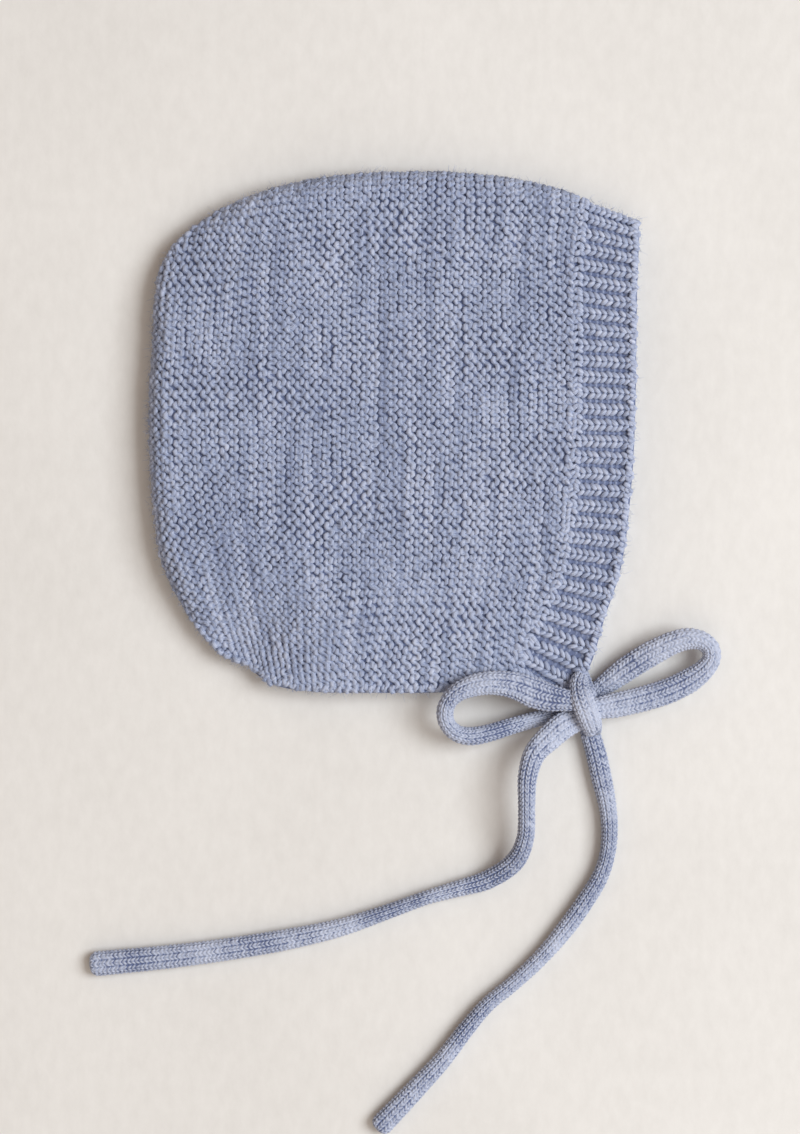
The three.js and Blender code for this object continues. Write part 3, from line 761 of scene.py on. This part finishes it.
def garter_yarn(places, normals, half_way, steps, sides, yarn, seeded):
    """One ridge: the yarn swings from side to side, each swing a loop that stands up, and
    dips where it passes through its neighbours."""
    length = stitch_lengths(places)
    fold = length[len(places) // 2] + UNDER_SHOWN if half_way else length[-1]
    along = np.concatenate([np.arange(0, fold, STITCH_PITCH / steps),
                            np.arange(fold, length[-1], STITCH_PITCH / (steps - 3))])
    count = len(along)
    plan = read_line(places, along)[:, :2]
    phase = 2 * math.pi * ((along - half_way) / STITCH_PITCH + 0.30 * ripple(plan, 31, 9))
    stitches = int(length[-1] / STITCH_PITCH * 2) + 4
    loop = phase / math.pi - (phase / math.pi).min()

    def uneven(amount):
        return amount * np.interp(loop, np.arange(stitches), seeded.normal(size=stitches))

    drift = wander(count, steps * 5, seeded, 1) * 0.14
    at = along + 0.20 * np.sin(2 * phase) + 0.24 * np.cos(phase) + uneven(UNEVEN_ALONG)
    sway = -(SWING + uneven(UNEVEN_ACROSS)) * np.cos(phase) + drift
    rise = LOOP_LEVEL + LOOP_RISE * np.cos(2 * phase) + uneven(UNEVEN_UP)
    centre = read_line(places, np.clip(at, 0, length[-1]))
    normal = unit(read_at(at, length, normals))
    run = unit(np.gradient(read_line(places, along), axis=0))
    side = unit(np.cross(run, normal))
    path = centre + side * sway[:, None] + normal * rise[:, None]
    radius = YARN_RADIUS * (1 + uneven(UNEVEN_RADIUS))
    radius[[0, -1]] = TIP_RADIUS
    # painted highlight on the loop tops and painted shade where the yarn dips between them
    tone = (wander(count, steps * 14, seeded) * TONE_DRIFT + uneven(TONE_STITCH)
            + TOP_LIGHT_DIP_SHADE * np.cos(2 * phase))
    yarn.add(path[None], normal[None], radius[None], tone[None], sides)


def crown_stitches(material, groups=3, steps=8, sides=6):
    """The crown's ridges, in a few pieces side by side."""
    outline = crown_outline()
    ridges = []
    along = RIDGE_PITCH / 2
    while True:
        start = BACK_X + float(fold_distance(along))
        if start > SEAM_MID_X + 3 * RIDGE_PITCH:
            break
        path = ridge_path(start, outline)
        if path:
            ridges.append(path)
        along += RIDGE_PITCH
    ridges += corner_ridges()
    pieces = []
    for number, group in enumerate(np.array_split(np.arange(len(ridges)), groups)):
        yarn = Yarn()
        for index in group:
            seeded = np.random.default_rng(100 + int(index))
            garter_yarn(*ridges[index], steps, sides, yarn, seeded)
        pieces.append(yarn.make(f"crown_ridges_{number + 1}", material))
    return pieces


CROWN_SHELL = (1.50, 2.45)       # the plain cloth lies this far under the stitches' tops
BRIM_SHELL = (1.70, 2.70)


def edge_by_x():
    """The crown's upper and lower edges in plan, each with x rising from the back."""
    back = int(fold_line[:, 0].argmin())
    upper = np.vstack([fold_line[back:FOLD_TOP], seam_line[-1]])
    lower = np.vstack([fold_line[back:0:-1], neck_line[:NECK_FOOT], seam_line[0]])
    return upper, lower


def crown_grid(columns=64, rows=52, passes=12):
    """The crown's plan as a grid whose columns lean with the seam, crowding to its edges."""
    upper, lower = edge_by_x()
    share = 1 - np.cos(np.linspace(0, math.pi / 2, columns))

    def settle(edge, y):
        for _ in range(passes):
            y = np.interp(BACK_X + (seam_x(y) - BACK_X) * share, edge[:, 0], edge[:, 1])
        return y

    top = settle(upper, np.full(columns, 60.0))
    foot = settle(lower, np.full(columns, -60.0))
    rise = (0.5 - 0.5 * np.cos(np.linspace(0, math.pi, rows)))[:, None]
    y = foot + (top - foot) * rise
    plan = np.stack([BACK_X + (seam_x(y) - BACK_X) * share, y], axis=-1)
    is_open = plan[0, :, 0] >= NECK_LINE[0][0]
    return plan, is_open


def shell(plan, insets, strips):
    """Both layers of plain cloth over a plan grid. Each strip closes one open stretch of its
    rim: it picks that stretch out of a layer's grid."""
    sheets = []
    for layer in (UPPER, UNDER):
        places, normals = cloth(plan, layer)
        outer, inner = (places - normals * inset for inset in insets)
        sheets += [(outer, layer == UNDER), (inner, layer == UPPER)]
        sheets += [(np.stack([strip(outer), strip(inner)]), layer == UPPER) for strip in strips]
    return sheets


def crown_fabric(material):
    """The crown's cloth under its raised stitches."""
    plan, is_open = crown_grid()
    strips = [lambda grid: grid[0, is_open], lambda grid: grid[:, -1]]
    piece = grid_object("crown_fabric", shell(plan, CROWN_SHELL, strips), material)
    return piece


WRAP_TURN, WRAP_EASE = 0.62, 0.8         # half turns to each side of the edge
WRAP_REACH = 1.3
WRAP_TONE = 0.6


def edge_wraps(yarn, line, wall, pitch, slant, radius, inset, steps=10, sides=6):
    """Loops of yarn that wrap an open edge of the cloth, on both layers. The cloth is to the
    left of the line's run."""
    length = lengths_along(line)
    middle = np.arange(pitch / 2, length[-1], pitch)
    turn = np.linspace(-WRAP_TURN, WRAP_TURN, steps) * math.pi
    for layer in (UPPER, UNDER):
        each_loop = (len(middle), 1)
        at = middle[:, None] + slant * turn / math.pi + random.normal(size=each_loop) * 0.12
        depth = inset + WRAP_REACH * (1 - np.cos(turn * WRAP_EASE))
        depth = depth + 0.16 * random.normal(size=each_loop)
        edge, inward = (read_at(at, length, values) for values in (line, left_of(line)))
        places, normals = cloth(edge + depth[..., None] * inward, layer)
        under = wall / 2 - (wall / 2 - radius * 0.75) * np.sin(turn * WRAP_EASE)
        path = places - normals * under[None, :, None]
        out = np.concatenate([-inward, np.zeros((*at.shape, 1))], axis=-1)
        lift = unit(normals * np.sin(turn)[None, :, None] + out * np.cos(turn)[None, :, None])
        size = radius * (1 + 0.06 * random.normal(size=each_loop))
        size = size * np.sin(np.linspace(0.12, 1, steps) * 0.94 * math.pi)[None] ** 0.35
        tone = WRAP_TONE + 0.3 * random.normal(size=each_loop)
        yarn.add(path, lift, size, tone, sides)


FUZZ_RADIUS = 0.05
FUZZ_LENGTH = (0.7, 1.7)
FUZZ_ON_FOLD, FUZZ_ON_HEM, FUZZ_ON_CROWN, FUZZ_ON_FACE = 900, 260, 1500, 420
OPEN_EDGE_HEIGHT = 7.0


def fuzz(yarn, places, out, count, seeded):
    """Loose fibres that stand off the wool, from roots picked among some places on it."""
    pick = seeded.integers(0, len(places), count)
    way = unit(0.8 * out[pick] + 0.6 * seeded.normal(size=(count, 3)))[:, None]
    bend = 0.4 * seeded.normal(size=(count, 1, 3))
    reach = seeded.uniform(*FUZZ_LENGTH, (count, 1, 1))
    root = places[pick] - 0.5 * out[pick] + 0.5 * seeded.normal(size=(count, 3))
    t = np.linspace(0, 1, 4)[:, None]
    paths = root[:, None] + reach * (way * t + bend * t**2)
    yarn.add(paths, np.array([0.31, 0.52, 0.79]), FUZZ_RADIUS * (1.1 - 0.6 * t.T), 0.8, sides=3)


def edge_places(line, height):
    """Places at a height on an edge of the cloth, with the level way to the left of its run."""
    flat = np.zeros(len(line))
    return np.column_stack([line, flat + height]), np.column_stack([left_of(line), flat])


def crown_fuzz(material):
    """Loose fibres on the crown's fold, its neck edge and its upper layer."""
    seeded = np.random.default_rng(31)
    yarn = Yarn()
    on_fold, fold_out = edge_places(fold_line, FOLD_HEIGHT)
    fuzz(yarn, on_fold, fold_out, FUZZ_ON_FOLD, seeded)
    hem, hem_left = edge_places(neck_line, OPEN_EDGE_HEIGHT)
    fuzz(yarn, hem, -hem_left, FUZZ_ON_HEM, seeded)
    plan = crown_grid()[0].reshape(-1, 2)
    fuzz(yarn, *cloth(plan, UPPER), FUZZ_ON_CROWN, seeded)
    piece = yarn.make("crown_fuzz", material)
    return piece


def crown_hem(material):
    """The chain of loops along the open neck edge."""
    lower = edge_by_x()[1]
    yarn = Yarn()
    hem = lower[lower[:, 0] >= NECK_LINE[0][0]]
    edge_wraps(yarn, smooth_line(hem[::6], 0.5), CROWN_WALL, pitch=2.3, slant=1.8, radius=0.74,
               inset=0.8)
    piece = yarn.make("crown_hem", material)
    return piece


# ---- brim ----

RIB_PITCH = 4.8
V_PLACES = (np.arange(10) + 0.52) / 10.15       # of a column's V's, from the seam to the face
V_LENGTH = 1.70
V_OPEN, V_CLOSED = 1.58, 0.26    # how far from a column's middle its strokes start and end
V_RADIUS = 0.76
CORE_PLACES = np.linspace(0.06, 0.95, 14)
# the cores and the neighbours' backs lie deep in the rib and carry painted shade
CORE_LEVEL, CORE_RADIUS, CORE_PAINTED_SHADE = -1.90, 0.66, -0.9
BACK_LENGTH, BACK_LEVEL, BACK_RADIUS, BACK_PAINTED_SHADE = 1.1, -2.30, 0.55, -1.5
SEAM_ROWS = ((-1.60, 1), (-0.20, -1), (1.10, 1))    # from the seam, and which way they lean
SEAM_STITCH, SEAM_LEAN, SEAM_RADIUS, SEAM_TONE = 1.7, 1.15, 0.78, 0.45
BRIM_WIDTHS = [0, 12, 40], [11, 16, 18.2]       # up the seam, and the brim's width there
RIB_FAN = [  # lengths from the foot along the seam, and along the face where that rib ends
    (0, 0), (8.3, 4.6), (18.6, 18.0), (29.6, 31.8), (40.0, 44.0), (54.0, 59.4), (81.0, 87.5),
    (100.5, 106.4), (133.0, 136.5), (151.8, 152.3),
]


def brim_plan(across, up):
    """Places in plan on the brim, a share of the way across it from seam to face, and a length
    up from its foot along the seam."""
    fan = np.array(RIB_FAN)
    seam_up, face_up = (fan / fan[-1] * (SEAM_LENGTH, FACE_LENGTH)).T
    face_up = np.interp(up, seam_up, face_up)
    seam, face = read_line(seam_line, up), read_line(face_line, face_up)
    plan = seam + (face - seam) * across[..., None]
    top = fold_line[FOLD_TOP:]
    on_fold = read_line(top, across * lengths_along(top)[-1])
    straight = seam_line[-1] + (face_line[-1] - seam_line[-1]) * across[..., None]
    settle = np.exp(-(SEAM_LENGTH - up) / 8)[..., None]
    return plan + (on_fold - straight) * settle


def brim_surface(across, down, layer):
    """Places and normals on the brim, at lengths down from the fold over the cloth's rounding."""
    up = SEAM_LENGTH - fold_distance(down)
    return cloth(brim_plan(across, np.clip(up, 0, SEAM_LENGTH)), layer)


def brim_strokes(yarn, layer, across, down, along, over, rise, radius, tone, sides):
    """Short lengths of yarn on the brim: rows of points offset `along` the rib and `over` it,
    in millimetres, from each stitch's own place, and `rise` from the cloth's outside."""
    across, down, along, over, rise, tone = np.broadcast_arrays(
        across, down, along, over, rise, tone)
    width = np.interp(SEAM_LENGTH - fold_distance(down), *BRIM_WIDTHS)
    places, normals = brim_surface(across + along / width, down + over, layer)
    path = places + normals * rise[..., None]
    yarn.add(path, normals, radius, tone, sides)


def rib_reach():
    """The length from the fold over the head down to the brim's foot, along the cloth."""
    down = np.arange(0, 200, 0.5)
    return np.interp(SEAM_LENGTH, fold_distance(down), down)


def ribs(yarn, layer, steps, sides):
    """Columns of V's that point to the face, each over a core, with the backs of their
    neighbours between. The first column lies on the fold itself."""
    middles = np.arange(0, rib_reach() - 1, RIB_PITCH)
    down, across = (v.ravel()[:, None] for v in np.meshgrid(middles, V_PLACES, indexing="ij"))
    t = np.linspace(0, 1, steps)[None]
    bulge = np.sin(math.pi * t)
    for hand in (-1, 1):
        kept = (down[:, 0] > 0) | (hand > 0)
        noise = random.normal(size=(5, len(down), 1))[:, kept]
        along = (t - 0.5) * (V_LENGTH + 0.12 * noise[0]) + 0.14 * noise[1]
        over = hand * (V_OPEN + (V_CLOSED - V_OPEN) * t) + 0.10 * noise[2]
        rise = -1.08 + 0.34 * bulge - 0.26 * over**2 - 0.45 * (down[kept] == 0)
        radius = V_RADIUS * (0.76 + 0.24 * bulge) * (1 + 0.07 * noise[3])
        # the strokes are painted darker at their outer ends, where they sink: painted shade
        tone = 0.40 * noise[4] + 0.5 * t
        brim_strokes(yarn, layer, across[kept], down[kept], along, over, rise, radius, tone,
                     sides)
    # the cores, deep under the V's, carry painted shade
    core_across, core_down = np.meshgrid(CORE_PLACES, middles[1:])
    brim_strokes(yarn, layer, core_across, core_down, 0, 0, CORE_LEVEL, CORE_RADIUS, CORE_PAINTED_SHADE,
                 sides)
    # the backs, deep between the columns, carry painted shade
    kept = (down + RIB_PITCH < rib_reach())[:, 0]
    noise = random.normal(size=(2, len(down), 1))[:, kept]
    along = 0.5 * bulge - 0.65 + 0.10 * noise[0]
    over = RIB_PITCH / 2 + (t - 0.5) * BACK_LENGTH
    brim_strokes(yarn, layer, across[kept], down[kept], along, over, BACK_LEVEL + 0.30 * bulge,
                 BACK_RADIUS, BACK_PAINTED_SHADE + 0.3 * noise[1], 5)


def seam_stitches(yarn, layer, steps=8, sides=6, pitch=2.2):
    """The rows picked up along the crown's side, from which the brim grows: plump slanted
    stitches, each row leaning the other way from its neighbour."""
    down = np.arange(pitch / 2, rib_reach() - 1, pitch)[:, None]
    t = np.linspace(0, 1, steps)[None]
    bulge = np.sin(math.pi * t)
    for start, hand in SEAM_ROWS:
        noise = random.normal(size=(6, len(down), 1))
        along = start + 0.06 * noise[5] + (t - 0.5) * SEAM_STITCH + 0.12 * noise[0]
        over = hand * SEAM_LEAN * (t - 0.5) + 0.20 * noise[1]
        rise = -1.02 + 0.30 * bulge + 0.09 * noise[2]
        radius = SEAM_RADIUS * (0.62 + 0.38 * bulge) * (1 + 0.07 * noise[3])
        brim_strokes(yarn, layer, 0, down, along, over, rise, radius,
                     SEAM_TONE + 0.3 * noise[4], sides)


def brim_fabric(material, columns=12, rows=90):
    """The brim's cloth under its raised stitches."""
    up = SEAM_LENGTH * np.sin(np.linspace(0, math.pi / 2, rows))
    up_grid, across = np.meshgrid(up, np.linspace(-0.04, 0.985, columns), indexing="ij")
    plan = brim_plan(across, up_grid)
    strips = [lambda grid: grid[0], lambda grid: grid[:, 0], lambda grid: grid[:, -1]]
    piece = grid_object("brim_fabric", shell(plan, BRIM_SHELL, strips), material)
    return piece


def brim_stitches(material):
    """The brim's ribs, its wrapped face edge and its loose fibres."""
    knit, edge, loose = Yarn(), Yarn(), Yarn()
    for layer, steps, sides in ((UPPER, 7, 6), (UNDER, 5, 4)):
        ribs(knit, layer, steps, sides)
        seam_stitches(knit, layer)
    edge_wraps(edge, face_line, BRIM_WALL, pitch=1.65, slant=1.2, radius=0.84, inset=1.15)
    face, face_left = edge_places(face_line, OPEN_EDGE_HEIGHT)
    fuzz(loose, face, -face_left, FUZZ_ON_FACE, np.random.default_rng(32))
    pieces = [yarn.make(name, material) for yarn, name in
              ((knit, "brim_ribs"), (edge, "brim_edge"), (loose, "brim_fuzz"))]
    return pieces


# ---- surroundings ----

PAPER_DARK, PAPER_LIGHT = (215, 213, 208), (242, 241, 237)
PAPER_FINISH = {"Roughness": 0.9, "Specular IOR Level": 0.2}
FLOOR_HALF = 2.5                 # metres
FLOOR_DROP = 0.35                # the cords' lowest stitches press a little into the surface
ROOM_COLOUR, ROOM_STRENGTH = (1.0, 0.81, 0.68, 1), 0.37


def floor_material():
    """Pale uncoated paper with a faint mottle and grain."""
    material, n, shader = new_material("pale_paper", PAPER_FINISH)
    place = n.add("ShaderNodeTexCoord").outputs["Object"]
    grain = n.noise(place, 900.0, 3, 0.6)
    fleck = n.noise(n.stretch(place, (1.0, 0.5, 1.0)), 300.0, 3, 0.6)
    uneven = n.maths("MULTIPLY_ADD", n.noise(place, 12.0, 3), 0.5,
                     n.maths("MULTIPLY", fleck, 0.5))
    mottle = n.mix(uneven, colour(*PAPER_DARK), colour(*PAPER_LIGHT))
    bump = n.add("ShaderNodeBump", {"Height": grain, "Strength": 0.12, "Distance": 0.2 * MM})
    n.put(shader["Base Color"], mottle)
    n.put(shader["Normal"], bump.outputs[0])
    return material


def add_floor():
    corners = ((-1, -1), (1, -1), (1, 1), (-1, 1))
    mesh = bpy.data.meshes.new("floor")
    mesh.from_pydata([(x * FLOOR_HALF, y * FLOOR_HALF, 0) for x, y in corners],
                     [], [(0, 1, 2, 3)])
    mesh.materials.append(floor_material())
    floor = bpy.data.objects.new("floor", mesh)
    floor.location.z = -FLOOR_DROP * MM
    bpy.context.scene.collection.objects.link(floor)


LAMPS = [  # name, place and width in metres, power, colour: each faces the bonnet
    ("window", (1.45, 0.12, 1.70), 1.35, 43.0, (0.95, 1.0, 1.06)),
    ("room", (0.5, -1.4, 1.5), 1.8, 8.0, (1.0, 0.99, 0.97)),
]


def add_lights():
    middle = bpy.data.objects["floor"].location
    for name, place, width, power, tint in LAMPS:
        lamp = bpy.data.objects.new(name, bpy.data.lights.new(name, "AREA"))
        lamp.data.size = width
        lamp.data.energy = power
        lamp.data.color = tint
        lamp.location = place
        lamp.rotation_mode = "QUATERNION"
        lamp.rotation_quaternion = (middle - lamp.location).to_track_quat("-Z", "Y")
        bpy.context.scene.collection.objects.link(lamp)
    world = bpy.data.worlds.new("soft_room")
    world.use_nodes = True
    background = world.node_tree.nodes["Background"]
    background.inputs["Color"].default_value = ROOM_COLOUR
    background.inputs["Strength"].default_value = ROOM_STRENGTH
    scene = bpy.context.scene
    scene.world = world
    scene.view_settings.view_transform = "Standard"
    scene.view_settings.look = "None"


# ---- the bonnet ----

def make_bonnet():
    wool = heathered_wool_group()
    cord_wool, crown_wool, brim_wool = (wool_material(name, wool) for name in WOOLS)
    upper = cord("upper_tie_cord", UPPER_CORD, cord_wool)
    under = cord("under_tie_cord", UNDER_CORD, cord_wool)
    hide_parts("tie_knot", "tie_loop_right", "tie_tail_left")
    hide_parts("tie_loop_left", "tie_tail_right")
    crown = crown_fabric(crown_wool)
    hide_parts("crown")
    crown_pieces = [*crown_stitches(crown_wool), crown_hem(crown_wool), crown_fuzz(crown_wool)]
    brim = brim_fabric(brim_wool)
    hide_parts("brim")
    brim_stitches(brim_wool)


add_camera()
make_bonnet()
add_floor()
add_lights()
